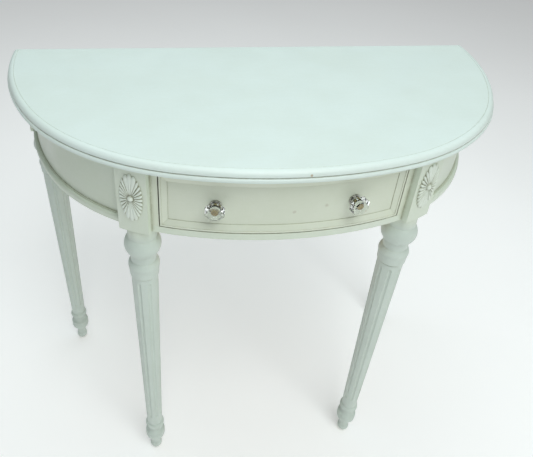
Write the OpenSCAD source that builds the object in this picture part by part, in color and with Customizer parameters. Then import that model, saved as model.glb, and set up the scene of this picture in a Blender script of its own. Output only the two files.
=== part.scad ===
// Half-moon console table with one bow-fronted drawer, four turned and fluted legs,
// carved oval rosettes on the front leg blocks and two faceted glass knobs.
// Millimetres, +Z up. Origin: on the floor, under the middle of the top's bounding box.
// Inside the modules the plan has Y = 0 on the straight rear edge; in_place() shifts it.
// A bearing is an angle in plan from the front (-Y) towards +X. An inset is a distance
// measured inwards from the outline of the top, square to it.

/* [Overall] */
// Width of the top
top_w = 910; // [760:5:1050]
// Depth of the top, straight rear edge to front
top_d = 444; // [370:2:530]
// Height of the table
table_h = 780; // [650:5:930]

/* [Outline] */
// Radius of the outline across the front
front_r = 640; // [600:10:720]
// Bearing where the front arc meets the shoulder arc
front_end = 15; // [13:1:17]
// Bearing where the shoulder arc meets the side arc
shoulder_end = 60; // [56:1:64]

/* [Top] */
// Thickness of the top
top_t = 19; // [17:0.5:26]
// Inset of the fine line cut round the field
line_inset = 12.4; // [11.5:0.1:16]
// Width of the fine line
line_w = 1.2; // [0.6:0.1:1.6]
// Radius of the rounded upper moulding of the edge
ovolo_r = 9; // [6:0.5:9.5]
// Radius of the bead along the lower edge
edge_bead_r = 4.2; // [3:0.1:4.4]
// Height of the quirk between the two
quirk_h = 1.2; // [0.8:0.1:2]

/* [Apron] */
// Height of the apron, underside of the top to its lower edge
apron_h = 120; // [110:1:150]
// Inset of the outermost face of rails, posts and lower moulding
face_inset = 25.5; // [22:0.5:28]
// Depth of the side panels behind that face
panel_recess = 8; // [5:0.5:11]
// Thickness of the side panels
panel_t = 16; // [12:1:20]
// Height of the rails above and below the drawer, and of the lower moulding
rail_h = 12; // [10:0.5:16]
// Depth of the rails above and below the drawer, front to back
rail_d = 30; // [28:1:36]
// Thickness of the drawer posts
post_t = 18; // [14:1:20]
// Width of the drawer posts beside the front leg blocks
post_w = 11; // [8:0.5:16]
// Thickness of the straight back rail
back_t = 18; // [14:1:24]
// Height of the back rail's lower edge above the lower edge of the apron
back_lift = 20; // [10:1:30]
// Distance of the back rail from the rear edge of the top
back_setback = 22; // [16:1:30]

/* [Legs] */
// Width and depth of the square leg blocks
block_w = 50; // [46:1:54]
// Inset of the front leg axes
leg_inset = 40; // [38:0.5:42]
// Inset of the front leg blocks' faces
block_inset = 14; // [13:0.5:16]
// Bearing of the front legs about the shoulder arc
leg_bearing = 26; // [24:0.5:30]
// How far the rear leg blocks stand proud of the lower moulding
rear_proud = 3; // [1:0.5:8]
// Radius of the ball under each block
ball_r = 30; // [27:0.5:33]
// Radius of the ball's rounded side
ball_round = 24.5; // [23:0.5:26]
// Radius of the collar between the block and the ball
collar_r = 23.5; // [21:0.5:24.5]
// Radius of the neck under the ball
neck_r = 22.4; // [20:0.2:24]
// Radius of the ring under the neck
ring_r = 26; // [24.5:0.5:29]
// Radius of the shaft at its top
shaft_top_r = 22.6; // [20:0.2:23.6]
// Radius of the shaft at its foot
shaft_foot_r = 15.6; // [14.5:0.2:18]
// Radius of the upper foot ring
foot_ring_r = 19.1; // [18:0.1:22]
// Radius of the lower foot rings
foot_bun_r = 20.1; // [19:0.1:23]
// Radius of the peg foot
peg_r = 12.4; // [11:0.1:14]

/* [Flutes] */
// Flutes on each leg
flutes = 8; // [6:1:10]
// Radius of a flute's hollow
flute_r = 4.5; // [3.5:0.1:5]
// Depth of a flute
flute_depth = 1.6; // [1:0.1:2]
// Plain shaft above the flutes
flute_top_gap = 12; // [8:1:30]
// Plain shaft below the flutes
flute_foot_gap = 33; // [10:1:60]

/* [Rosettes] */
// Width of a rosette
rosette_w = 38; // [32:1:42]
// Height of a rosette
rosette_h = 85; // [70:1:94]
// Thickness of a rosette's ground
rosette_t = 2.6; // [2:0.1:4]
// Petals round a rosette
petals = 24; // [16:4:28]
// Radius of a petal's rib
petal_r = 1.9; // [1.4:0.1:2.2]
// Radius of the button in the middle
button_r = 5; // [4:0.5:7]
// Height of a rosette's middle above the block's lower end
rosette_z = 65; // [58:1:68]

/* [Drawer] */
// Gap round the drawer front
front_gap = 1.5; // [1:0.1:2.5]
// Width of the moulding round the drawer front
frame_w = 12; // [10:0.5:16]
// Projection of that moulding from the drawer front
frame_t = 5.5; // [4:0.5:7]
// Width of the moulding's flat outer lip
frame_lip = 3; // [2:0.5:4]
// Thickness of the drawer front
front_t = 16; // [14:0.5:18]
// Thickness of the drawer's sides and back
side_t = 12; // [9:0.5:14]
// Thickness of the drawer bottom
bottom_t = 5; // [4:0.5:8]
// Depth of the groove that holds the bottom
groove_d = 5; // [3:0.5:6]
// Height of the bottom above the lower edge of the sides
bottom_up = 10; // [9:0.5:14]
// Free space behind the drawer when it is shut
rear_space = 36; // [30:1:60]
// Clearance of the drawer sides to their guides
side_gap = 1.5; // [0.8:0.1:2]
// Clearance of the drawer to its runners and kickers
slide_gap = 0.4; // [0.3:0.1:1]

/* [Knobs] */
// Distance of each knob from the middle
knob_x = 104; // [85:1:125]
// Size of the glass knob across its corners
knob_d = 31; // [26:1:36]
// Length of the glass knob's neck
knob_neck = 3; // [2:0.5:6]
// Thickness of the glass disc
knob_t = 14; // [11:0.5:18]
// Diameter of the collar on the drawer front
collar_d = 18; // [15:0.5:20]
// Height of that collar
collar_h = 6; // [4:0.5:8]
// Diameter of the knob bolt
bolt_d = 4; // [3:0.5:5]

/* [Inner frame] */
// Width of runners and kickers
runner_w = 34; // [30:1:40]
// Thickness of the drawer guides
guide_t = 12; // [10:1:16]
// Height of the drawer guides above the runners
guide_h = 20; // [14:1:26]
// Length of the corner blocks
corner_l = 26; // [20:1:32]
// Height of the corner blocks
corner_h = 60; // [40:5:80]
// Diameter of the wood screws
screw_d = 4; // [3:0.5:5]
// Length that a screw reaches into the top
screw_bite = 11; // [8:0.5:13]

/* [Hidden] */
$fn = 180;

PAINT = "ivory";
BARE_WOOD = "burlywood";
LEFT = -1;
RIGHT = 1;
// Small overlap where two shapes of one solid are joined
JOIN = 1;
// Degrees by which the shoulder sectors, inside both larger circles, run past their ends
LAP = 1;
// Hairline left where two lengths of a moulding meet
HAIR = 0.01;
// Allowance between a screw and its hole, and round the drawer bottom in its grooves
FIT = 0.1;

// Outline of the top: a front arc, two shoulder arcs and two side arcs, all tangent.
// The side arcs end square to the rear edge, which fixes the two smaller radii.
shoulder_k = (1 - sin(shoulder_end)) / cos(shoulder_end);
shoulder_r = (top_w / 2 - front_r * sin(front_end)
              - shoulder_k * (front_r * (cos(front_end) - 1) + top_d))
             / (1 - sin(front_end) - shoulder_k * cos(front_end));
front_c = [0, front_r - top_d];
shoulder_c = front_c + (front_r - shoulder_r) * outward(front_end);
side_r = shoulder_r - shoulder_c.y / cos(shoulder_end);
side_c = shoulder_c + (shoulder_r - side_r) * outward(shoulder_end);

// Heights
z_under = table_h - top_t;
z_low = z_under - apron_h;
z_rail = z_low + rail_h;
z_kick = z_under - rail_h;

// Legs
leg_xy = shoulder_c + (shoulder_r - leg_inset) * outward(leg_bearing);
block_back = leg_inset - block_inset - block_w;
rear_y = -back_setback - block_w / 2;
rear_x = side_c.x + sqrt(pow(side_r - face_inset, 2) - rear_y * rear_y) + rear_proud - block_w / 2;

stop_w = 26;

// Drawer opening: between the posts, and between the inner rear corners of the front blocks
block_in_front = block_corner(face_inset);
block_in_back = block_corner(block_inset + block_w);
open_x = block_in_front.x - post_w;
guide_x = min(block_in_back.x, open_x);
box_x = guide_x - side_gap;
front_x = open_x - front_gap;
front_z0 = z_rail + front_gap;
front_z1 = z_kick - front_gap;
board_inset = face_inset + frame_t;
board_back = board_inset + front_t;
back_face_y = -back_setback - back_t;
box_y = back_face_y - rear_space;
side_z0 = z_rail + slide_gap;
side_z1 = z_kick - slide_gap;
bottom_z = side_z0 + bottom_up;

// Knobs stand square to the bowed front
knob_bearing = asin(knob_x / (front_r - board_inset));
knob_z = (front_z0 + front_z1) / 2;

function outward(b) = [sin(b), -cos(b)];
// Points along an arc
function arc(c, r, a0, a1, n = 8) =
    [for (i = [0 : n]) c + r * [cos(a0 + (a1 - a0) * i / n), sin(a0 + (a1 - a0) * i / n)]];
// Inner side of a front leg block, at an inset
function block_corner(inset) = shoulder_c + (shoulder_r - inset) * outward(leg_bearing)
                               - block_w / 2 * [cos(leg_bearing), sin(leg_bearing)];
// Y of the line at an inset, on the shoulder arc or the front arc
function arc_y(c, r, x) = c.y - sqrt(r * r - (x - c.x) * (x - c.x));
function line_y(x, inset) = x < front_c.x + (front_r - inset) * sin(front_end)
    ? arc_y(front_c, front_r - inset, x)
    : arc_y(shoulder_c, shoulder_r - inset, x);

module in_place() translate([0, top_d / 2, 0]) children();
module on_side(s) mirror([s == LEFT ? 1 : 0, 0, 0]) children();
module slab(z0, z1) translate([0, 0, z0]) linear_extrude(z1 - z0) children();
module box(x0, x1, y0, y1) translate([x0, y0]) square([x1 - x0, y1 - y0]);

// ---- plan shapes ----
// Pie slice of the outline between two bearings
module sector(c, r, b0, b1) {
    reach = 1.5 * r;
    intersection() {
        translate(c) circle(r);
        polygon([c, c + reach * outward(b0), c + reach * outward(b1)]);
    }
}

// Everything inside the line at an inset
module plan(inset) {
    intersection() {
        box(-top_w, top_w, -2 * top_d, 0);
        union() {
            sector(front_c, front_r - inset, -front_end, front_end);
            for (s = [LEFT, RIGHT]) mirror([s == LEFT ? 1 : 0, 0]) {
                sector(shoulder_c, shoulder_r - inset, front_end - LAP, shoulder_end + LAP);
                sector(side_c, side_r - inset, shoulder_end, 90);
            }
        }
    }
}

// Wall behind the line at an inset
module wall(inset, t) difference() {
    plan(inset);
    plan(inset + t);
}

module at_front_leg() translate(leg_xy) rotate(leg_bearing) children();

module front_block_plan() intersection() {
    at_front_leg() box(-block_w / 2, block_w / 2, -block_w, -block_back);
    translate(shoulder_c) circle(shoulder_r - block_inset);
}

module rear_block_plan()
    translate([rear_x - block_w / 2, rear_y - block_w / 2]) square(block_w);

// Sweeps a profile along one arc; profile x = 0 is the outline, y is the height
module sweep(c, r, b0, b1) translate(c) rotate([0, 0, b0 - 90])
    rotate_extrude(angle = b1 - b0) translate([r, 0]) children();

module sweep_front() sweep(front_c, front_r, -front_end, front_end) children();
module sweep_shoulder(b0, b1) sweep(shoulder_c, shoulder_r, b0, b1) children();

// From front leg to front leg
module sweep_between_legs() {
    sweep_front() children();
    for (s = [LEFT, RIGHT]) on_side(s) sweep_shoulder(front_end, leg_bearing) children();
}

// A length of moulding that stops a hair short of each change of radius
function hair(r) = asin(HAIR / r);
module moulding_length(c, r, b0, b1) sweep(c, r, b0 + hair(r), b1 - hair(r)) children();
module shoulder_length(b0) moulding_length(shoulder_c, shoulder_r, b0, shoulder_end) children();
module side_length() moulding_length(side_c, side_r, shoulder_end, 90) children();

// ---- top ----
core_inset = 20;
ovolo_x = -line_inset + line_w;
ovolo_z = table_h - ovolo_r;
quirk_x = -edge_bead_r + line_w / 2;
quirk_z = ovolo_z - quirk_h;
bead_z = quirk_z - edge_bead_r;

// Edge of the top, from inside its core outwards and down: fine line, ovolo, quirk and bead
edge_outline = concat(
    [[-core_inset - JOIN, table_h], [-line_inset - line_w / 2, table_h],
     [-line_inset, table_h - line_w / 2], [-line_inset + line_w / 2, table_h]],
    arc([ovolo_x, ovolo_z], ovolo_r, 90, 0),
    [[quirk_x, ovolo_z], [quirk_x, quirk_z]],
    arc([-edge_bead_r, bead_z], edge_bead_r, 75, -75),
    [[-2 * edge_bead_r, z_under], [-core_inset - JOIN, z_under]]);

module top_panel() color(PAINT) in_place() difference() {
    union() {
        slab(z_under, table_h) plan(core_inset);
        moulding_length(front_c, front_r, -front_end, front_end) polygon(edge_outline);
        for (s = [LEFT, RIGHT]) on_side(s) {
            shoulder_length(front_end) polygon(edge_outline);
            side_length() polygon(edge_outline);
        }
    }
    screw_holes();
}

// ---- legs ----
// Turned details, measured down from the block and up from the floor
ball_z = z_low - 41;
neck_z = z_low - 73;
arris_z = z_low - 88;
band_z = z_low - 105;
shaft_top_z = band_z - 2;
shaft_foot_z = 98;
cove_z = 77;
cove_r = 11;
waist_r = 13.6;
split_z = 60;
peg_z = 12.5;
ring_round = 15;
foot_ring_round = 8.5;
cusp_round = 4.2;
bun_round = 17;
peg_round = 14.5;

// Points round a bead of radius r at height z, between the radii above and below it
function bulge(r, z, round, above, below, n = 8) = let (c = r - round)
    arc([c, z], round, acos((above - c) / round), -acos((below - c) / round), n);

leg_outline = concat(
    [[0, z_low + JOIN], [collar_r, z_low + JOIN]],
    bulge(ball_r, ball_z, ball_round, collar_r, neck_r, 14),
    bulge(ring_r, arris_z + 3, ring_round, neck_r - 1.2, ring_r - 0.3),
    [[ring_r - 0.8, arris_z], [ring_r - 1.8, band_z],
     [shaft_top_r - 1, band_z], [shaft_top_r - 1, shaft_top_z],
     [shaft_top_r, shaft_top_z], [shaft_foot_r, shaft_foot_z]],
    bulge(foot_ring_r, shaft_foot_z - 6.5, foot_ring_round, shaft_foot_r, waist_r),
    arc([waist_r + cove_r, cove_z], cove_r, 180, 236, 6),
    bulge(foot_bun_r - 0.2, split_z + 4.4, cusp_round, foot_bun_r - 1.6, foot_bun_r - 1.6, 6),
    bulge(foot_bun_r, split_z - 6, bun_round, foot_bun_r - 1.2, peg_r - 2.4),
    bulge(peg_r, peg_z, peg_round, peg_r - 2.4, peg_r - 7),
    [[peg_r - 7, 0], [0, 0]]);

// One flute: a hollow that follows the taper of the shaft, with round stopped ends
module flute() {
    z0 = shaft_foot_z + flute_foot_gap;
    z1 = shaft_top_z - flute_top_gap;
    lean = (shaft_top_r - shaft_foot_r) / (shaft_top_z - shaft_foot_z);
    x0 = shaft_foot_r + lean * (z0 - shaft_foot_z) + flute_r - flute_depth;
    rise = atan(lean);
    len = (z1 - z0) / cos(rise);
    translate([x0, 0, z0]) rotate([0, rise, 0]) rotate_extrude($fn = 32)
        polygon(concat([[0, -flute_r]], arc([0, 0], flute_r, -75, 0, 4),
                       arc([0, len], flute_r, 0, 75, 4), [[0, len + flute_r]]));
}

module turned_leg() difference() {
    rotate_extrude() polygon(leg_outline);
    for (i = [0 : flutes - 1]) rotate([0, 0, 90 + i * 360 / flutes]) flute();
}

module front_leg() {
    slab(z_low, z_under) front_block_plan();
    translate([leg_xy.x, leg_xy.y, 0]) rotate([0, 0, leg_bearing]) turned_leg();
}

module rear_leg() {
    slab(z_low, z_under) rear_block_plan();
    translate([rear_x, rear_y, 0]) turned_leg();
}

module front_left_leg() color(PAINT) in_place() on_side(LEFT) front_leg();
module front_right_leg() color(PAINT) in_place() front_leg();
module rear_left_leg() color(PAINT) in_place() on_side(LEFT) rear_leg();
module rear_right_leg() color(PAINT) in_place() rear_leg();

// ---- rosettes ----
// Depth of the valleys between petals, as a share of the oval
valley = 0.6;

// Point on the rosette's oval, scaled by k
function oval(a, k = 1) = k * [rosette_w / 2 * cos(a), rosette_h / 2 * sin(a)];

// One petal: from the valley before it, round its tip
function petal(i) = let (step = 360 / petals, a = (i + 0.5) * step, tip = oval(a),
                         turn = atan2(tip.y, tip.x)) concat(
    [oval(a - step / 2, valley)],
    arc(tip * (1 - petal_r / norm(tip)), petal_r, turn - 75, turn + 75, 4));

module rosette() {
    seat = leg_inset - block_inset;
    difference() {
        translate([leg_xy.x, leg_xy.y, z_low + rosette_z]) rotate([90, 0, leg_bearing]) {
            linear_extrude(seat + rosette_t) polygon([for (i = [0 : 47]) oval(i * 7.5, 0.9)]);
            linear_extrude(seat + rosette_t + petal_r)
                polygon([for (i = [0 : petals - 1]) each petal(i)]);
            translate([0, 0, seat]) rotate_extrude() polygon(concat([[0, 0], [button_r, 0]],
                arc([0, rosette_t + petal_r], button_r, 0, 90, 6)));
        }
        slab(0, table_h) translate(shoulder_c) circle(shoulder_r - block_inset);
    }
}

module left_rosette() color(PAINT) in_place() on_side(LEFT) rosette();
module right_rosette() color(PAINT) in_place() rosette();

// ---- apron ----
// What lies behind the front leg on its outer side, ahead of the rear leg
module side_span() difference() {
    translate(shoulder_c) rotate(leg_bearing) box(0, top_w, -2 * top_w, top_w);
    front_block_plan();
    rear_block_plan();
    box(-top_w, top_w, rear_y - block_w / 2, top_w);
    box(-top_w, leg_xy.x, -top_w, top_w);
}

module side_panel() slab(z_low, z_under) intersection() {
    wall(face_inset + panel_recess, panel_t);
    side_span();
}

// Lower moulding of the sides: a fillet against the panel, then a rounded upper edge
fillet_w = 2.5;
moulding_round = panel_recess - fillet_w;
moulding_outline = let (x = -face_inset - moulding_round, top = z_rail - fillet_w / 2) concat(
    [[-face_inset - panel_recess, z_low], [-face_inset, z_low]],
    arc([x, top - moulding_round], moulding_round, 0, 90, 6),
    [[x, z_rail], [-face_inset - panel_recess, z_rail]]);

// Key inside the moulding that joins its two lengths
module moulding_key() slab(z_low + rail_h / 6, z_low + rail_h / 2) translate(shoulder_c)
    rotate(shoulder_end - 90) box(shoulder_r - face_inset - panel_recess * 0.75,
                                  shoulder_r - face_inset - panel_recess / 4, -rail_h / 2, rail_h / 2);

module side_moulding() intersection() {
    union() {
        shoulder_length(leg_bearing) polygon(moulding_outline);
        side_length() polygon(moulding_outline);
        moulding_key();
    }
    slab(0, table_h) side_span();
}

module left_apron() color(PAINT) in_place() on_side(LEFT) side_panel();
module right_apron() color(PAINT) in_place() side_panel();
module left_apron_moulding() color(PAINT) in_place() on_side(LEFT) side_moulding();
module right_apron_moulding() color(PAINT) in_place() side_moulding();

// Between the two front legs
module front_span() difference() {
    polygon([shoulder_c, shoulder_c + top_w * outward(leg_bearing), [-leg_xy.x, -top_w],
             [-shoulder_c.x, shoulder_c.y] + top_w * outward(-leg_bearing),
             [-shoulder_c.x, shoulder_c.y]]);
    front_block_plan();
    mirror([1, 0]) front_block_plan();
}

module front_rail(z0) intersection() {
    sweep_between_legs() box(-face_inset - rail_d, -face_inset, z0, z0 + rail_h);
    slab(z0, z0 + rail_h) front_span();
}

module lower_front_rail() color(PAINT) in_place() front_rail(z_low);

module upper_front_rail() color(PAINT) in_place() difference() {
    front_rail(z_kick);
    screw_holes();
}

module drawer_post() intersection() {
    sweep_shoulder(front_end, leg_bearing) box(-face_inset - post_t, -face_inset, z_rail, z_kick);
    slab(z_rail, z_kick) difference() {
        box(open_x, leg_xy.x + block_w, -2 * top_d, 0);
        front_block_plan();
    }
}

module left_drawer_post() color(PAINT) in_place() on_side(LEFT) drawer_post();
module right_drawer_post() color(PAINT) in_place() drawer_post();

module back_rail() color(PAINT) in_place() slab(z_low + back_lift, z_under)
    box(-rear_x + block_w / 2, rear_x - block_w / 2, back_face_y, -back_setback);

// ---- inner frame ----
// From the back rail forward to the front rails, clear of the front leg blocks
module runner_plan(x0, x1) difference() {
    intersection() {
        plan(face_inset + rail_d);
        box(x0, x1, -2 * top_d, back_face_y);
    }
    front_block_plan();
}

module runner() {
    slab(z_low, z_rail) runner_plan(guide_x + guide_t - runner_w, guide_x + guide_t);
    slab(z_rail, z_rail + guide_h) runner_plan(guide_x, guide_x + guide_t);
}

module kicker() difference() {
    slab(z_kick, z_under) runner_plan(guide_x + guide_t - runner_w, guide_x + guide_t);
    screw_holes();
}

module left_runner() color(BARE_WOOD) in_place() on_side(LEFT) runner();
module right_runner() color(BARE_WOOD) in_place() runner();
module left_kicker() color(BARE_WOOD) in_place() on_side(LEFT) kicker();
module right_kicker() color(BARE_WOOD) in_place() kicker();

// Two blocks on the lower rail that the back of the drawer front comes to rest on
module drawer_stops() color(BARE_WOOD) in_place() for (s = [LEFT, RIGHT]) on_side(s)
    intersection() {
        sweep_front() box(-face_inset - rail_d, -board_back - slide_gap, z_rail, bottom_z - 3);
        slab(z_rail, z_kick) box(knob_x - stop_w / 2, knob_x + stop_w / 2, -2 * top_d, 0);
    }

// Blocks glued behind the front legs, inside the side aprons, and in the rear corners
module corner_plan() {
    intersection() {
        plan(panel_back_inset);
        at_front_leg() box(block_w / 2, block_w / 2 + corner_l, -block_w, -block_back);
    }
    box(rear_x - block_w / 2 - corner_l, rear_x - block_w / 2, back_face_y - corner_l, back_face_y);
}

module corner_blocks() color(BARE_WOOD) in_place() difference() {
    for (s = [LEFT, RIGHT]) on_side(s) slab(z_under - corner_h, z_under) corner_plan();
    screw_holes();
}

// ---- screws that hold the top ----
rail_mid_y = -top_d + face_inset + rail_d / 2 + 3;
kicker_x = guide_x + guide_t - runner_w / 2 + 2;
panel_back_inset = face_inset + panel_recess + panel_t;
corner_side = (block_w + corner_l) / 2;
panel_back = sqrt(pow(shoulder_r - panel_back_inset, 2) - pow(corner_side, 2))
             - shoulder_r + leg_inset;
front_corner = leg_xy + corner_side * [cos(leg_bearing), sin(leg_bearing)]
               + (panel_back + block_back) / 2 * outward(leg_bearing);
rear_corner = [rear_x - block_w / 2 - corner_l / 2, back_face_y - corner_l / 2];
// Plan position of each screw on the right-hand side, and the height its head is sunk to
side_screws = [[kicker_x, back_face_y - 60, z_kick], [kicker_x, back_face_y - 200, z_kick],
               [front_corner.x, front_corner.y, z_kick], [rear_corner.x, rear_corner.y, z_kick]];

module screw(grow) {
    head_r = screw_d + grow;
    head_h = 2.5;
    slab(0, head_h) circle(head_r);
    cylinder(r = screw_d / 2 + grow, h = z_under + screw_bite + grow - z_kick);
}

module each_screw() {
    translate([0, rail_mid_y, z_kick]) children();
    for (s = [LEFT, RIGHT]) on_side(s) for (p = side_screws) translate(p) children();
}

// A hole also opens a pocket below each head, down to the foot of the corner blocks
module screw_holes() each_screw() {
    screw(FIT);
    translate([0, 0, -corner_h]) cylinder(r = screw_d + FIT, h = corner_h + JOIN);
}

module top_screws() color("silver") in_place() each_screw() screw(0);

// ---- drawer ----
module knob_axis() translate([front_c.x, front_c.y, knob_z]) rotate([0, 0, knob_bearing])
    translate([0, board_inset - front_r, 0]) rotate([90, 0, 0]) children();

module drawer_front() color(PAINT) in_place() difference() {
    intersection() {
        sweep_between_legs() box(-board_back, -board_inset, front_z0, front_z1);
        slab(front_z0, front_z1) box(-front_x, front_x, -2 * top_d, 0);
    }
    slab(bottom_z, bottom_z + bottom_t) bottom_plan(0);
    for (s = [LEFT, RIGHT]) on_side(s) knob_axis()
        translate([0, 0, -2 * front_t]) cylinder(d = bolt_d + 2 * FIT, h = 3 * front_t);
}

// Lower strip of the mitred moulding, lip outwards
module frame_profile() {
    lip_step = 0.8;
    polygon([[-board_inset, 0], [-face_inset, 0], [-face_inset, frame_lip],
             [-face_inset - lip_step, frame_lip], [-board_inset + lip_step, frame_w],
             [-board_inset, frame_w]]);
}

// The strip between its two mitres, seen from the front
module mitred(w) intersection() {
    children();
    rotate([90, 0, 0]) linear_extrude(2 * top_d)
        polygon([[-front_x, 0], [front_x, 0], [front_x - w, w], [w - front_x, w]]);
}

module upright_strip() {
    lip_step = 0.8;
    mid = front_x - frame_lip;
    in = front_x - frame_w;
    back = line_y(in, board_inset) + front_t / 2;
    intersection() {
        slab(front_z0, front_z1) difference() {
            polygon([[front_x, back], [front_x, line_y(front_x, face_inset)],
                     [mid, line_y(mid, face_inset)], [mid, line_y(mid, face_inset + lip_step)],
                     [in, line_y(in, board_inset - lip_step)], [in, back]]);
            plan(board_inset);
        }
        translate([0, 0, front_z0]) rotate([90, 0, 0]) linear_extrude(2 * top_d)
            polygon([[front_x, 0], [front_x, front_z1 - front_z0],
                     [in, front_z1 - front_z0 - frame_w], [in, frame_w]]);
    }
}

module drawer_moulding_bottom() color(PAINT) in_place()
    translate([0, 0, front_z0]) mitred(frame_w) sweep_between_legs() frame_profile();
module drawer_moulding_top() color(PAINT) in_place()
    translate([0, 0, front_z1]) mirror([0, 0, 1]) mitred(frame_w) sweep_between_legs() frame_profile();
module drawer_moulding_left() color(PAINT) in_place() on_side(LEFT) upright_strip();
module drawer_moulding_right() color(PAINT) in_place() upright_strip();

// The bottom panel runs in grooves in the front and sides, and under the back
module bottom_plan(fit) intersection() {
    plan(board_back - groove_d + fit);
    box(-box_x + side_t - groove_d + fit, box_x - side_t + groove_d - fit, -2 * top_d, box_y);
}

module drawer_side() difference() {
    slab(side_z0, side_z1) intersection() {
        plan(board_back);
        box(box_x - side_t, box_x, -2 * top_d, box_y);
    }
    slab(bottom_z, bottom_z + bottom_t) bottom_plan(0);
}

module drawer_left_side() color(BARE_WOOD) in_place() on_side(LEFT) drawer_side();
module drawer_right_side() color(BARE_WOOD) in_place() drawer_side();

module drawer_back() color(BARE_WOOD) in_place()
    slab(bottom_z + bottom_t, side_z1 - 6) box(-box_x + side_t, box_x - side_t, box_y - side_t, box_y);

module drawer_bottom() color(BARE_WOOD) in_place()
    slab(bottom_z + FIT, bottom_z + bottom_t - FIT) bottom_plan(FIT);

// ---- knobs ----
insert_r = 5.5;
insert_l = 9;

// Side view of the faceted disc: a narrow back, a straight rim, a bevel and a flat face
module disc_view() {
    back_z = collar_h + knob_neck;
    bevel = knob_t / 3;
    back_r = collar_d / 2 - 2;
    rim_r = knob_d / 2 * cos(22.5);
    face_r = rim_r * 0.62;
    polygon([[-back_r, back_z], [back_r, back_z], [rim_r, back_z + bevel],
             [rim_r, back_z + 2 * bevel], [face_r, back_z + knob_t],
             [-face_r, back_z + knob_t], [-rim_r, back_z + 2 * bevel],
             [-rim_r, back_z + bevel]]);
}

module knob_glass() difference() {
    union() {
        intersection_for(i = [0 : 3]) rotate([90, 0, i * 45]) translate([0, 0, -knob_d])
            linear_extrude(2 * knob_d) disc_view();
        translate([0, 0, collar_h]) cylinder(d = collar_d - 4.6, h = knob_neck + JOIN);
    }
    translate([0, 0, collar_h - JOIN]) cylinder(r = insert_r + FIT, h = insert_l + JOIN + FIT);
}

module knob_collar() difference() {
    union() {
        cylinder(d = collar_d, h = collar_h / 3);
        cylinder(d = collar_d - 4, h = collar_h);
    }
    translate([0, 0, -JOIN]) cylinder(d = bolt_d + 2 * FIT, h = collar_h + 2 * JOIN);
    slab(-JOIN, 0.4) circle(d = collar_d / 2);
}

// Bolt with its head inside the drawer and a brass insert cast into the glass
module knob_bolt() {
    head_h = 3;
    translate([0, 0, -front_t - head_h - 0.5]) cylinder(r = bolt_d, h = head_h);
    translate([0, 0, -front_t - head_h]) cylinder(d = bolt_d, h = front_t + head_h + collar_h);
    translate([0, 0, collar_h]) cylinder(r = insert_r, h = insert_l);
}

module left_knob_glass() color("lightcyan", 0.5) in_place() on_side(LEFT) knob_axis() knob_glass();
module right_knob_glass() color("lightcyan", 0.5) in_place() knob_axis() knob_glass();
module left_knob_collar() color("silver") in_place() on_side(LEFT) knob_axis() knob_collar();
module right_knob_collar() color("silver") in_place() knob_axis() knob_collar();
module left_knob_bolt() color("goldenrod") in_place() on_side(LEFT) knob_axis() knob_bolt();
module right_knob_bolt() color("goldenrod") in_place() knob_axis() knob_bolt();

top_panel();
front_left_leg();
front_right_leg();
rear_left_leg();
rear_right_leg();
left_rosette();
right_rosette();
left_apron();
right_apron();
left_apron_moulding();
right_apron_moulding();
lower_front_rail();
upper_front_rail();
left_drawer_post();
right_drawer_post();
back_rail();
left_runner();
right_runner();
left_kicker();
right_kicker();
drawer_stops();
corner_blocks();
top_screws();
drawer_front();
drawer_moulding_top();
drawer_moulding_bottom();
drawer_moulding_left();
drawer_moulding_right();
drawer_left_side();
drawer_right_side();
drawer_back();
drawer_bottom();
left_knob_glass();
right_knob_glass();
left_knob_collar();
right_knob_collar();
left_knob_bolt();
right_knob_bolt();
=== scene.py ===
import math

import bmesh
import bpy
from mathutils import Matrix, Vector


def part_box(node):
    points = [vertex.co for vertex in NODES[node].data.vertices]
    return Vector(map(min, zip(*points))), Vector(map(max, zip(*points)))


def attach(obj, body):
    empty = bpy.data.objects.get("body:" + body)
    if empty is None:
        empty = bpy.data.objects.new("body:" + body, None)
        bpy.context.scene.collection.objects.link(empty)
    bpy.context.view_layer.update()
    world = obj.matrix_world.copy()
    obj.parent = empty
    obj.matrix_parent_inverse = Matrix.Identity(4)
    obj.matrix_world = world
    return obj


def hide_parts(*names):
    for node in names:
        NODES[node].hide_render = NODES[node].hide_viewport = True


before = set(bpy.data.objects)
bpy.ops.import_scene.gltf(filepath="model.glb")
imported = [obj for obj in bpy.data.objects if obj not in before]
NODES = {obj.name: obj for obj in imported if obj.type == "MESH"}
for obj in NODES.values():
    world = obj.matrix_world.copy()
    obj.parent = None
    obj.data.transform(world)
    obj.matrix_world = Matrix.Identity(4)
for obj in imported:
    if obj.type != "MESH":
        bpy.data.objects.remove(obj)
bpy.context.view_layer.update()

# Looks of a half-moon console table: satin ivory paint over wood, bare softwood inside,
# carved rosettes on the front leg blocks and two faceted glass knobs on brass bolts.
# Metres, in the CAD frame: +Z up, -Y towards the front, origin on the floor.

MM = 0.001


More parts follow.
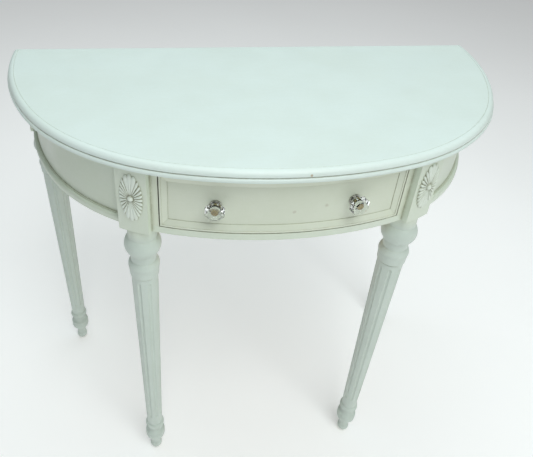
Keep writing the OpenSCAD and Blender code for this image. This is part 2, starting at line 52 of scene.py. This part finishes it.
# ---- node materials ----
class Material:
    """A node material with short calls for the nodes that the finishes below share."""

    def __init__(self, name):
        self.material = bpy.data.materials.new(name)
        self.material.use_nodes = True
        self.tree = self.material.node_tree
        self.tree.nodes.clear()
        self.shader = self.node("ShaderNodeBsdfPrincipled")
        output = self.node("ShaderNodeOutputMaterial")
        self.tree.links.new(self.shader.outputs["BSDF"], output.inputs["Surface"])
        self.object_point = self.node("ShaderNodeTexCoord").outputs["Object"]

    def node(self, kind, **settings):
        made = self.tree.nodes.new(kind)
        for key, value in settings.items():
            setattr(made, key, value)
        return made

    def feed(self, socket, value):
        """Links value to socket if it is an output, and otherwise sets it."""
        if isinstance(value, bpy.types.NodeSocket):
            self.tree.links.new(value, socket)
        else:
            socket.default_value = value

    def noise(self, size, detail=3.0, roughness=0.55, stretch=(1, 1, 1), distortion=0.0):
        """Noise from 0 to 1 with features of about size metres, drawn out along an axis by stretch."""
        mapping = self.node("ShaderNodeMapping")
        self.feed(mapping.inputs["Vector"], self.object_point)
        mapping.inputs["Scale"].default_value = [1 / (size * s) for s in stretch]
        made = self.node("ShaderNodeTexNoise")
        self.feed(made.inputs["Vector"], mapping.outputs["Vector"])
        made.inputs["Scale"].default_value = 1.0
        made.inputs["Detail"].default_value = detail
        made.inputs["Roughness"].default_value = roughness
        made.inputs["Distortion"].default_value = distortion
        return made.outputs["Fac"]

    def span(self, value, low, high, to_low=0.0, to_high=1.0):
        """Maps low..high to to_low..to_high smoothly and holds the ends."""
        made = self.node("ShaderNodeMapRange", interpolation_type="SMOOTHSTEP")
        for key, number in (("From Min", low), ("From Max", high),
                            ("To Min", to_low), ("To Max", to_high)):
            made.inputs[key].default_value = number
        self.feed(made.inputs["Value"], value)
        return made.outputs["Result"]

    def math(self, operation, a, b=0.0):
        made = self.node("ShaderNodeMath", operation=operation)
        self.feed(made.inputs[0], a)
        self.feed(made.inputs[1], b)
        return made.outputs[0]

    def mix(self, factor, a, b):
        made = self.node("ShaderNodeMix", data_type="RGBA")
        colours = [s for s in made.inputs if s.type == "RGBA"]
        self.feed(made.inputs["Factor"], factor)
        for socket, value in zip(colours, (a, b)):
            self.feed(socket, (*value, 1.0) if isinstance(value, tuple) else value)
        return [s for s in made.outputs if s.type == "RGBA"][0]

    def crevice(self, distance):
        """1 deep in a corner or joint, 0 in the open."""
        made = self.node("ShaderNodeAmbientOcclusion", samples=8)
        made.inputs["Distance"].default_value = distance
        return self.span(made.outputs["AO"], 0.35, 0.95, 1.0, 0.0)

    def arris(self, radius):
        """1 along an edge, 0 on a flat face, and the normal rounded over that radius."""
        rounded = self.node("ShaderNodeBevel", samples=6)
        rounded.inputs["Radius"].default_value = radius
        flat = self.node("ShaderNodeNewGeometry")
        dot = self.node("ShaderNodeVectorMath", operation="DOT_PRODUCT")
        self.feed(dot.inputs[0], rounded.outputs["Normal"])
        self.feed(dot.inputs[1], flat.outputs["Normal"])
        return self.span(dot.outputs["Value"], 0.86, 0.995, 1.0, 0.0), rounded.outputs["Normal"]

    def bump(self, heights, normal=None):
        """Chains bumps: heights is a list of (value, strength, distance in metres)."""
        for value, strength, distance in heights:
            made = self.node("ShaderNodeBump")
            made.inputs["Strength"].default_value = strength
            made.inputs["Distance"].default_value = distance
            self.feed(made.inputs["Height"], value)
            if normal is not None:
                self.feed(made.inputs["Normal"], normal)
            normal = made.outputs["Normal"]
        self.feed(self.shader.inputs["Normal"], normal)

    def finish(self, **sockets):
        for key, value in sockets.items():
            self.feed(self.shader.inputs[key.replace("_", " ")], value)
        return self.material


# Linear colours
IVORY = (0.735, 0.800, 0.700)
IVORY_SHADE = (0.690, 0.765, 0.640)
# Top paint: lighter and cool-tinted, a painted cool light falling on it from above
TOP_PAINTED_LIGHT = (0.745, 0.845, 0.815)
TOP_PAINTED_LIGHT_DARK = (0.715, 0.805, 0.760)
# Leg paint under the aprons: darker and cool-tinted, painted shade under the overhang and painted cool
# light
LEG_PAINTED_SHADE = (0.640, 0.720, 0.665)
LEG_PAINTED_SHADE_DARK = (0.590, 0.670, 0.610)
# Rosette paint: lighter, partly unyellowed paint and partly a painted highlight on the raised relief
RELIEF_UNYELLOWED_AND_HIGHLIT = (0.790, 0.860, 0.800)
IVORY_WARM = (0.745, 0.790, 0.680)
IVORY_WARM_SHADE = (0.705, 0.755, 0.625)
# Dark tone laid into joints and corners: painted shade, mixed with dirt
GRIME_AND_PAINTED_SHADE = (0.330, 0.330, 0.215)
YELLOWED = (0.700, 0.640, 0.400)
WORN = (0.420, 0.300, 0.170)
SMUDGE = (0.52, 0.50, 0.40)
RUST = (0.300, 0.120, 0.070)
EARLY_WOOD, LATE_WOOD = (0.640, 0.440, 0.235), (0.460, 0.270, 0.115)
WOOD_PORES, WOOD_CORNER_DARK = (0.300, 0.170, 0.075), (0.150, 0.095, 0.050)
TARNISH = (0.05, 0.045, 0.03)
GLASS_TINT, GLASS_CLEAR = (0.955, 0.985, 0.975), (0.985, 0.995, 0.99)
FLOOR_SHADE, FLOOR_LIGHT = (0.900, 0.905, 0.905), (0.925, 0.93, 0.93)

# Sizes in the paint: its clouding, brush marks, patches of dirt and painted shade, chips and changes of
# gloss
CLOUD, FLECK, STIPPLE = 0.11, 0.006, 0.0021
STROKE, WIDE_STROKE = 0.0016, 0.0052
DIRT_AND_SHADE_PATCH, CHIP, YELLOW_PATCH, GLOSS_PATCH = 0.012, 0.0045, 0.03, 0.05
# How far the painted shade and dirt reach out of a tight joint and out of an open corner
TIGHT_JOINT, OPEN_CORNER = 0.0022, 0.009
# Height over which the legs' paint turns into the painted shade of the shafts
LEG_SHADE_BLEND = 0.030


def spot(m, centre, radius, ragged=0.45):
    """A ragged blot of that radius round a point: 1 inside, 0 outside."""
    away = m.node("ShaderNodeVectorMath", operation="DISTANCE")
    m.feed(away.inputs[0], m.object_point)
    away.inputs[1].default_value = centre
    rough = m.math("MULTIPLY", m.noise(radius * 0.9, 4.0, 0.7), ragged * 2 * radius)
    return m.span(m.math("ADD", away.outputs["Value"], rough), radius * 0.95, radius * 1.5, 1.0, 0.0)


def paint(name, stroke, light=IVORY, shade=IVORY_SHADE, grime_and_shade=0.75, blots=(), yellowing=0.35,
          soft_edge=0.6 * MM, painted_shade_below=None):
    """Brushed satin paint. stroke draws the brush marks out along an axis. blots are
    (point, radius, colour, strength) marks where the paint is nicked or soiled, and the last
    argument is (height, light, shade) of a darker, cool-tinted paint under that height:
    painted shade and painted cool light."""
    m = Material(name)
    clouds = m.span(m.noise(CLOUD, 3.0, 0.6), 0.32, 0.68)
    fine = m.span(m.noise(FLECK, 4.0, 0.65), 0.30, 0.70)
    strokes = m.noise(STROKE, 3.0, 0.6, stretch=stroke, distortion=0.15)
    wide_strokes = m.noise(WIDE_STROKE, 2.0, 0.5, stretch=stroke, distortion=0.3)
    tint = m.math("ADD", m.math("MULTIPLY", clouds, 0.55), m.math("MULTIPLY", fine, 0.25))
    tint = m.math("ADD", tint, m.math("MULTIPLY", m.span(strokes, 0.3, 0.7), 0.20))
    colour = m.mix(tint, light, shade)
    # Painted shade and painted cool light: under the given height the paint turns darker and cool-tinted
    if painted_shade_below:
        top_z, shaded_tone, shaded_tone_dark = painted_shade_below
        height = m.node("ShaderNodeSeparateXYZ")
        m.feed(height.inputs[0], m.object_point)
        lower = m.span(height.outputs["Z"], top_z - LEG_SHADE_BLEND, top_z, 1.0, 0.0)
        colour = m.mix(lower, colour, m.mix(tint, shaded_tone, shaded_tone_dark))

    # Painted shade: an occlusion mask darkens joints, corners and hollows, made patchy like dirt
    tight = m.crevice(TIGHT_JOINT)
    corner = m.math("MAXIMUM", m.crevice(OPEN_CORNER), tight)
    dirt_and_shade = m.math("MULTIPLY", corner, m.span(m.noise(DIRT_AND_SHADE_PATCH, 4.0, 0.7), 0.25, 0.62, 0.45, 1.0))
    colour = m.mix(m.math("MULTIPLY", dirt_and_shade, grime_and_shade), colour, GRIME_AND_PAINTED_SHADE)
    edge, rounded = m.arris(soft_edge)
    patchy = m.span(m.noise(YELLOW_PATCH, 3.0, 0.6), 0.42, 0.62)
    colour = m.mix(m.math("MULTIPLY", m.math("MULTIPLY", edge, patchy), yellowing), colour, YELLOWED)
    chips = m.math("MULTIPLY", m.span(m.noise(CHIP, 5.0, 0.75), 0.665, 0.70), edge)
    colour = m.mix(m.math("MULTIPLY", chips, 0.75), colour, WORN)
    nicks = chips
    for centre, radius, mark, strength in blots:
        blot = m.math("MULTIPLY", spot(m, centre, radius), strength)
        colour = m.mix(blot, colour, mark)
        nicks = m.math("MAXIMUM", nicks, blot)

    rough = m.math("ADD", m.span(m.noise(GLOSS_PATCH, 3.0, 0.6), 0.3, 0.7, 0.34, 0.46),
                   m.math("MULTIPLY", m.math("ADD", corner, nicks), 0.18))
    m.bump([(strokes, 0.22, 0.00018), (wide_strokes, 0.25, 0.00030),
            (m.noise(STIPPLE, 2.0, 0.5), 0.16, 0.00012),
            (m.math("SUBTRACT", 1.0, nicks), 0.6, 0.00035)], rounded)
    return m.finish(Base_Color=colour, Roughness=rough, Specular_IOR_Level=0.42,
                    Coat_Weight=0.12, Coat_Roughness=0.22)


def bare_wood(name, grain, seed):
    """Planed softwood. grain draws the figure out along the board."""
    m = Material(name)
    figure = m.noise(0.011 + 0.0004 * seed, 3.0, 0.5, stretch=grain, distortion=0.9)
    rings = m.node("ShaderNodeTexWave", wave_type="RINGS", rings_direction="SPHERICAL")
    mapping = m.node("ShaderNodeMapping")
    m.feed(mapping.inputs["Vector"], m.object_point)
    mapping.inputs["Scale"].default_value = [60 / s for s in grain]
    mapping.inputs["Location"].default_value = (seed * 0.37, seed * 0.21, seed * 0.13)
    m.feed(rings.inputs["Vector"], mapping.outputs["Vector"])
    rings.inputs["Scale"].default_value = 1.1
    rings.inputs["Distortion"].default_value = 3.5
    rings.inputs["Detail"].default_value = 3.0
    late = m.math("ADD", m.math("MULTIPLY", rings.outputs["Fac"], 0.6),
                  m.math("MULTIPLY", figure, 0.5))
    pores = m.noise(0.0007, 3.0, 0.7, stretch=grain)
    colour = m.mix(m.span(late, 0.25, 0.85), EARLY_WOOD, LATE_WOOD)
    colour = m.mix(m.span(pores, 0.55, 0.75, 0.0, 0.5), colour, WOOD_PORES)
    # Darker in the corners and joints of the bare wood, through an occlusion mask
    colour = m.mix(m.math("MULTIPLY", m.crevice(0.012), 0.5), colour, WOOD_CORNER_DARK)
    m.bump([(pores, 0.35, 0.0002), (figure, 0.15, 0.0003)])
    return m.finish(Base_Color=colour, Roughness=m.span(late, 0.2, 0.9, 0.66, 0.52),
                    Specular_IOR_Level=0.3)


def metal(name, light, dark, rough, scratch=0.25):
    """Plated or turned metal, dulled unevenly, with fine handling scratches."""
    m = Material(name)
    patches = m.span(m.noise(0.0042, 4.0, 0.65), 0.35, 0.68)
    scratches = m.noise(0.00045, 3.0, 0.7, stretch=(1, 1, 14), distortion=0.4)
    colour = m.mix(patches, light, dark)
    colour = m.mix(m.math("MULTIPLY", m.crevice(0.003), 0.7), colour, TARNISH)
    low, high = rough
    m.bump([(scratches, scratch, 0.00004)])
    return m.finish(Base_Color=colour, Roughness=m.span(patches, 0.0, 1.0, low, high), Metallic=1.0)


def clear_glass(name):
    """Pressed clear glass: faint flow marks, a trace of green and slightly dulled faces."""
    m = Material(name)
    flow = m.noise(0.007, 3.0, 0.5, distortion=1.5)
    smear = m.span(m.noise(0.004, 4.0, 0.6), 0.4, 0.7, 0.01, 0.06)
    colour = m.mix(m.span(flow, 0.3, 0.7), GLASS_TINT, GLASS_CLEAR)
    m.bump([(flow, 0.25, 0.0003)])
    return m.finish(Base_Color=colour, Roughness=smear, Transmission_Weight=1.0, IOR=1.5)


def dress(names, material):
    for name in names:
        slots = NODES[name].data.materials
        slots.clear()
        slots.append(material)


# ---- finishes of the CAD nodes ----
# How far brush marks or grain are drawn out along each axis
ALONG_X, ALONG_Y, ALONG_Z, LEVEL = (28, 1, 1), (1, 28, 1), (1, 1, 28), (24, 24, 1)

drawer_low, drawer_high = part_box("drawer_front")
top_low, top_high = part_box("top_panel")
moulding_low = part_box("right_apron_moulding")[0]
drawer_mid_z = (drawer_low.z + drawer_high.z) / 2


def on_moulding(y, up):
    """Point on the outer face of the right side moulding, at depth y and that far above its lower edge."""
    start = Vector((top_high.x, y - 0.06, moulding_low.z + up))
    return NODES["right_apron_moulding"].closest_point_on_mesh(start)[1]


top_nick = Vector((0.020, top_low.y + 0.004, top_low.z + 0.012))

# Painted light: the top takes a lighter, cool-tinted paint for the light falling on it from above
dress(["top_panel"], paint("paint_top", ALONG_X, TOP_PAINTED_LIGHT, TOP_PAINTED_LIGHT_DARK, 0.7,
                           [(top_nick, 0.0026, WORN, 0.8)], 0.12))
# The leg shafts get painted shade and painted cool light under the side mouldings' lower edge
dress(["front_left_leg", "front_right_leg", "rear_left_leg", "rear_right_leg"],
      paint("paint_legs", ALONG_Z, grime_and_shade=0.95, soft_edge=0.35 * MM,
            painted_shade_below=(moulding_low.z, LEG_PAINTED_SHADE, LEG_PAINTED_SHADE_DARK)))
dress(["left_apron", "right_apron", "lower_front_rail", "upper_front_rail", "back_rail"],
      paint("paint_aprons", LEVEL))
dress(["left_apron_moulding", "right_apron_moulding"],
      paint("paint_mouldings", LEVEL,
            blots=[(on_moulding(y, up), 0.0022, RUST, 0.8)
                   for y, up in ((0.012, 0.010), (-0.002, 0.009), (-0.036, 0.010))]))
dress(["left_drawer_post", "right_drawer_post"],
      paint("paint_posts", ALONG_Z, IVORY_WARM, IVORY_WARM_SHADE, yellowing=0.5))
dress(["drawer_front"],
      paint("paint_drawer", LEVEL, IVORY_WARM, IVORY_WARM_SHADE,
            blots=[(Vector((0.060, drawer_low.y + 0.006, drawer_mid_z - 0.004)), 0.0050, SMUDGE, 0.6),
                   (Vector((0.012, drawer_low.y + 0.001, drawer_mid_z - 0.012)), 0.0036, SMUDGE, 0.5),
                   (Vector((0.128, drawer_low.y + 0.014, drawer_low.z + 0.020)), 0.0022, WORN, 0.6)]))
dress(["drawer_moulding_top", "drawer_moulding_bottom", "drawer_moulding_left",
       "drawer_moulding_right"],
      paint("paint_drawer_frame", LEVEL, IVORY_WARM, IVORY_WARM_SHADE, 0.6, yellowing=0.6))

along_y = ["left_runner", "right_runner", "left_kicker", "right_kicker",
           "drawer_left_side", "drawer_right_side"]
along_x = ["drawer_back", "drawer_bottom", "drawer_stops", "corner_blocks"]
for seed, name in enumerate(along_y + along_x):
    dress([name], bare_wood("wood_" + name, ALONG_Y if name in along_y else ALONG_X, seed))

brass = metal("brass_bolt", (0.95, 0.74, 0.27), (0.60, 0.40, 0.10), (0.28, 0.50))
silver = metal("silvered_collar", (0.66, 0.66, 0.63), (0.42, 0.42, 0.39), (0.18, 0.38))
steel = metal("steel_screw", (0.52, 0.52, 0.52), (0.33, 0.32, 0.31), (0.30, 0.50))
dress(["left_knob_bolt", "right_knob_bolt"], brass)
dress(["left_knob_collar", "right_knob_collar"], silver)
dress(["top_screws"], steel)
dress(["left_knob_glass", "right_knob_glass"], clear_glass("clear_glass"))


# ---- carved rosettes ----
# Bearing of the front leg blocks from straight ahead, and the radius their faces bow to
LEG_BEARING = math.radians(26)
BLOCK_FACE_R = 351.3 * MM
ROSETTE_W, ROSETTE_H = 38 * MM, 85 * MM
# Height of the CAD button's crown over the block, and how far the relief is let into it
BUTTON_TOP, SINK = 9.5 * MM, 0.3 * MM
# Slim petals down each side, within this angle of level, and broad ones at each end
SIDE_PETALS, END_PETALS = 9, 3
SIDE_SPAN = math.radians(54)
PETAL_STEPS, RINGS = 14, 34
GROUND, RIB = 0.9 * MM, 3.4 * MM
BUTTON_R, BUTTON_H = 5.0 * MM, 6.2 * MM
# How far a tip falls back beside its rib, as a share of the petal, and how suddenly
SLIM_TIP, BROAD_TIP, TIP_POWER = 0.20, 0.10, 2.6
# A broad petal's height beside its rib and what the rib adds; how sharp a slim one is
BROAD_FLAT, BROAD_CROWN, SLIM_POWER = 0.55, 0.30, 1.2
# Along a petal: where it has swelled to its height, how fast, and how much it tapers after
SWELL_END, SWELL_POWER, TAPER = 0.22, 0.7, 0.30
# Where the tip starts to roll over, and the thickness left at its edge
ROLL_START, EDGE_SHARE = 0.84, 0.35
# The button's seat as a share of the ground, and the power that rounds its dome
SEAT_SHARE, DOME_POWER = 0.8, 0.8


def petal_bounds():
    """Angles round the oval between petals: slim ones down each side, broad ones at both ends."""
    edges = []
    for turn in (0, math.pi):
        for i in range(SIDE_PETALS):
            share = -1 + 2 * i / SIDE_PETALS
            edges.append(turn + math.asin(share * math.sin(SIDE_SPAN)))
        for i in range(END_PETALS):
            edges.append(turn + SIDE_SPAN + i * (math.pi - 2 * SIDE_SPAN) / END_PETALS)
    return sorted(a % (2 * math.pi) for a in edges)


def petal_point(angle, beside, broad, t):
    """x, y and height over the block's face, t of the way out along a spoke. beside is 0 on
    the petal's rib and 1 in the valley next to it."""
    reach = Vector((ROSETTE_W / 2 * math.cos(angle), ROSETTE_H / 2 * math.sin(angle)))
    length = reach.length * (1 - (BROAD_TIP if broad else SLIM_TIP) * beside ** TIP_POWER)
    radius = length * t
    x, y = reach.x / reach.length * radius, reach.y / reach.length * radius
    if radius < BUTTON_R * 1.001:
        dome = math.sqrt(max(0.0, 1 - (radius / BUTTON_R) ** 2))
        return x, y, GROUND * SEAT_SHARE + (BUTTON_H - GROUND * SEAT_SHARE) * dome ** DOME_POWER
    along = max(0.0, (radius - BUTTON_R) / (length - BUTTON_R))
    if broad:
        rib = BROAD_FLAT + BROAD_CROWN * (1 - beside ** 2)
    else:
        rib = math.sqrt(max(0.0, 1 - beside ** 2)) ** SLIM_POWER
    swell = min(1.0, along / SWELL_END) ** SWELL_POWER * (1 - TAPER * along)
    roll = max(0.0, (along - ROLL_START) / (1 - ROLL_START))
    fall = math.sqrt(max(0.0, 1 - roll ** 2))
    return x, y, GROUND * (EDGE_SHARE + (1 - EDGE_SHARE) * fall) + RIB * rib * swell * fall


def rosette_mesh(name):
    """Relief in its own axes: X across the block, Y up it and Z out of its face."""
    edges = petal_bounds()
    spokes = []
    for start, end in zip(edges, edges[1:] + [edges[0] + 2 * math.pi]):
        angles = [start + (end - start) * j / PETAL_STEPS for j in range(PETAL_STEPS)]
        broad = abs(math.cos(sum(angles) / PETAL_STEPS)) < math.cos(SIDE_SPAN)
        spokes += [(angle, abs(2 * (j / PETAL_STEPS) - 1), broad)
                   for j, angle in enumerate(angles)]

    def on_face(x, y, height):
        return x, y, height - x * x / (2 * BLOCK_FACE_R)

    verts = [on_face(*petal_point(*spoke, k / RINGS)) for k in range(RINGS + 1) for spoke in spokes]
    count = len(spokes)
    verts += [on_face(x, y, -SINK) for x, y, _ in verts[-count:]]
    faces = []
    for ring in range(RINGS + 1):
        inner, outer = ring * count, (ring + 1) * count
        faces += [(inner + j, outer + j, outer + (j + 1) % count, inner + (j + 1) % count)
                  for j in range(count)]
    back = len(verts) - count
    verts.append((0, 0, -SINK))
    faces += [(back + j, len(verts) - 1, back + (j + 1) % count) for j in range(count)]
    mesh = bpy.data.meshes.new(name)
    mesh.from_pydata(verts, [], faces)
    return mesh


def weld(mesh, distance=1e-6):
    """Closes the seams, points the faces outwards and shades them smoothly."""
    bm = bmesh.new()
    bm.from_mesh(mesh)
    bmesh.ops.remove_doubles(bm, verts=bm.verts, dist=distance)
    bmesh.ops.recalc_face_normals(bm, faces=bm.faces)
    bm.to_mesh(mesh)
    bm.free()
    mesh.polygons.foreach_set("use_smooth", [True] * len(mesh.polygons))


# The rosettes' lighter paint is partly unyellowed paint and partly a painted highlight on the relief
rosette_paint = paint("paint_rosettes", ALONG_Z, RELIEF_UNYELLOWED_AND_HIGHLIT, IVORY, 0.9, yellowing=0.3,
                      soft_edge=0.3 * MM)
for side, node in ((-1, "left_rosette"), (1, "right_rosette")):
    bearing = side * LEG_BEARING
    across = Vector((math.cos(bearing), math.sin(bearing), 0))
    up = Vector((0, 0, 1))
    out = Vector((math.sin(bearing), -math.cos(bearing), 0))
    points = [v.co for v in NODES[node].data.vertices]
    low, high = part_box(node)
    sideways = [p.dot(across) for p in points]
    origin = (across * (min(sideways) + max(sideways)) / 2
              + out * (max(p.dot(out) for p in points) - BUTTON_TOP)
              + up * (low.z + high.z) / 2)
    mesh = rosette_mesh("carved_" + node)
    turned = Matrix((across, up, out)).transposed().to_4x4()
    mesh.transform(Matrix.Translation(origin) @ turned)
    weld(mesh)
    mesh.materials.append(rosette_paint)
    carved = bpy.data.objects.new("carved_" + node, mesh)
    bpy.context.scene.collection.objects.link(carved)
    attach(carved, "table")
    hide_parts(node)


# ---- floor, light and camera ----
FLOOR_HALF = 9.0
floor_mesh = bpy.data.meshes.new("studio_floor")
floor_mesh.from_pydata([(x * FLOOR_HALF, y * FLOOR_HALF, 0)
                        for x, y in ((-1, -1), (1, -1), (1, 1), (-1, 1))], [], [(0, 1, 2, 3)])
floor = bpy.data.objects.new("studio_floor", floor_mesh)
bpy.context.scene.collection.objects.link(floor)
floor_look = Material("pale_floor")
floor_tone = floor_look.mix(floor_look.span(floor_look.noise(0.9, 3.0), 0.3, 0.7),
                            FLOOR_SHADE, FLOOR_LIGHT)
floor_look.bump([(floor_look.noise(0.004, 3.0), 0.05, 0.0004)])
floor_mesh.materials.append(floor_look.finish(Base_Color=floor_tone, Roughness=0.85,
                                              Specular_IOR_Level=0.15,
                                              Emission_Color=(1.0, 1.0, 1.0, 1.0),
                                              Emission_Strength=0.26))

world = bpy.data.worlds.new("studio")
world.use_nodes = True
bpy.context.scene.world = world
background = world.node_tree.nodes["Background"]
background.inputs["Color"].default_value = (0.95, 0.99, 1.0, 1)
background.inputs["Strength"].default_value = 0.15

TABLE_MIDDLE = Vector((0.0, 0.0, 0.6))


def soft_light(name, at, size, energy, colour):
    """Square light at that point, aimed at the middle of the table."""
    light = bpy.data.lights.new(name, "AREA")
    light.shape, light.size, light.energy, light.color = "SQUARE", size, energy, colour
    lamp = bpy.data.objects.new(name, light)
    lamp.location = at
    lamp.rotation_euler = (TABLE_MIDDLE - Vector(at)).to_track_quat("-Z", "Y").to_euler()
    bpy.context.scene.collection.objects.link(lamp)


soft_light("key", (0.45, -1.75, 3.3), 1.8, 55, (0.96, 1.0, 0.99))
soft_light("overhead", (-0.1, 0.4, 3.0), 2.6, 36, (0.90, 1.0, 1.0))
soft_light("fill", (1.9, -1.9, 0.9), 1.6, 4, (1.0, 1.0, 0.84))
soft_light("front", (0.2, -3.4, 1.5), 1.8, 5, (1.0, 1.0, 0.93))

SENSOR, FOCAL = 36.0, 36.34
CAMERA_AT = (-0.1780, -0.7921, 1.1808)
YAW, PITCH, ROLL = (math.radians(a) for a in (-7.7975, -34.8565, -2.4229))
lens = bpy.data.cameras.new("camera")
lens.sensor_fit, lens.sensor_width = "HORIZONTAL", SENSOR
lens.lens = FOCAL
lens.shift_x, lens.shift_y = 0.0810, -0.0984
lens.clip_start, lens.clip_end = 0.02, 60
camera = bpy.data.objects.new("camera", lens)
camera.matrix_world = (Matrix.Translation(CAMERA_AT)
                       @ Matrix.Rotation(YAW, 4, "Z") @ Matrix.Rotation(PITCH, 4, "X")
                       @ Matrix.Rotation(ROLL, 4, "Y") @ Matrix.Rotation(math.pi / 2, 4, "X"))
bpy.context.scene.collection.objects.link(camera)
bpy.context.scene.camera = camera
bpy.context.scene.view_settings.view_transform = "Standard"
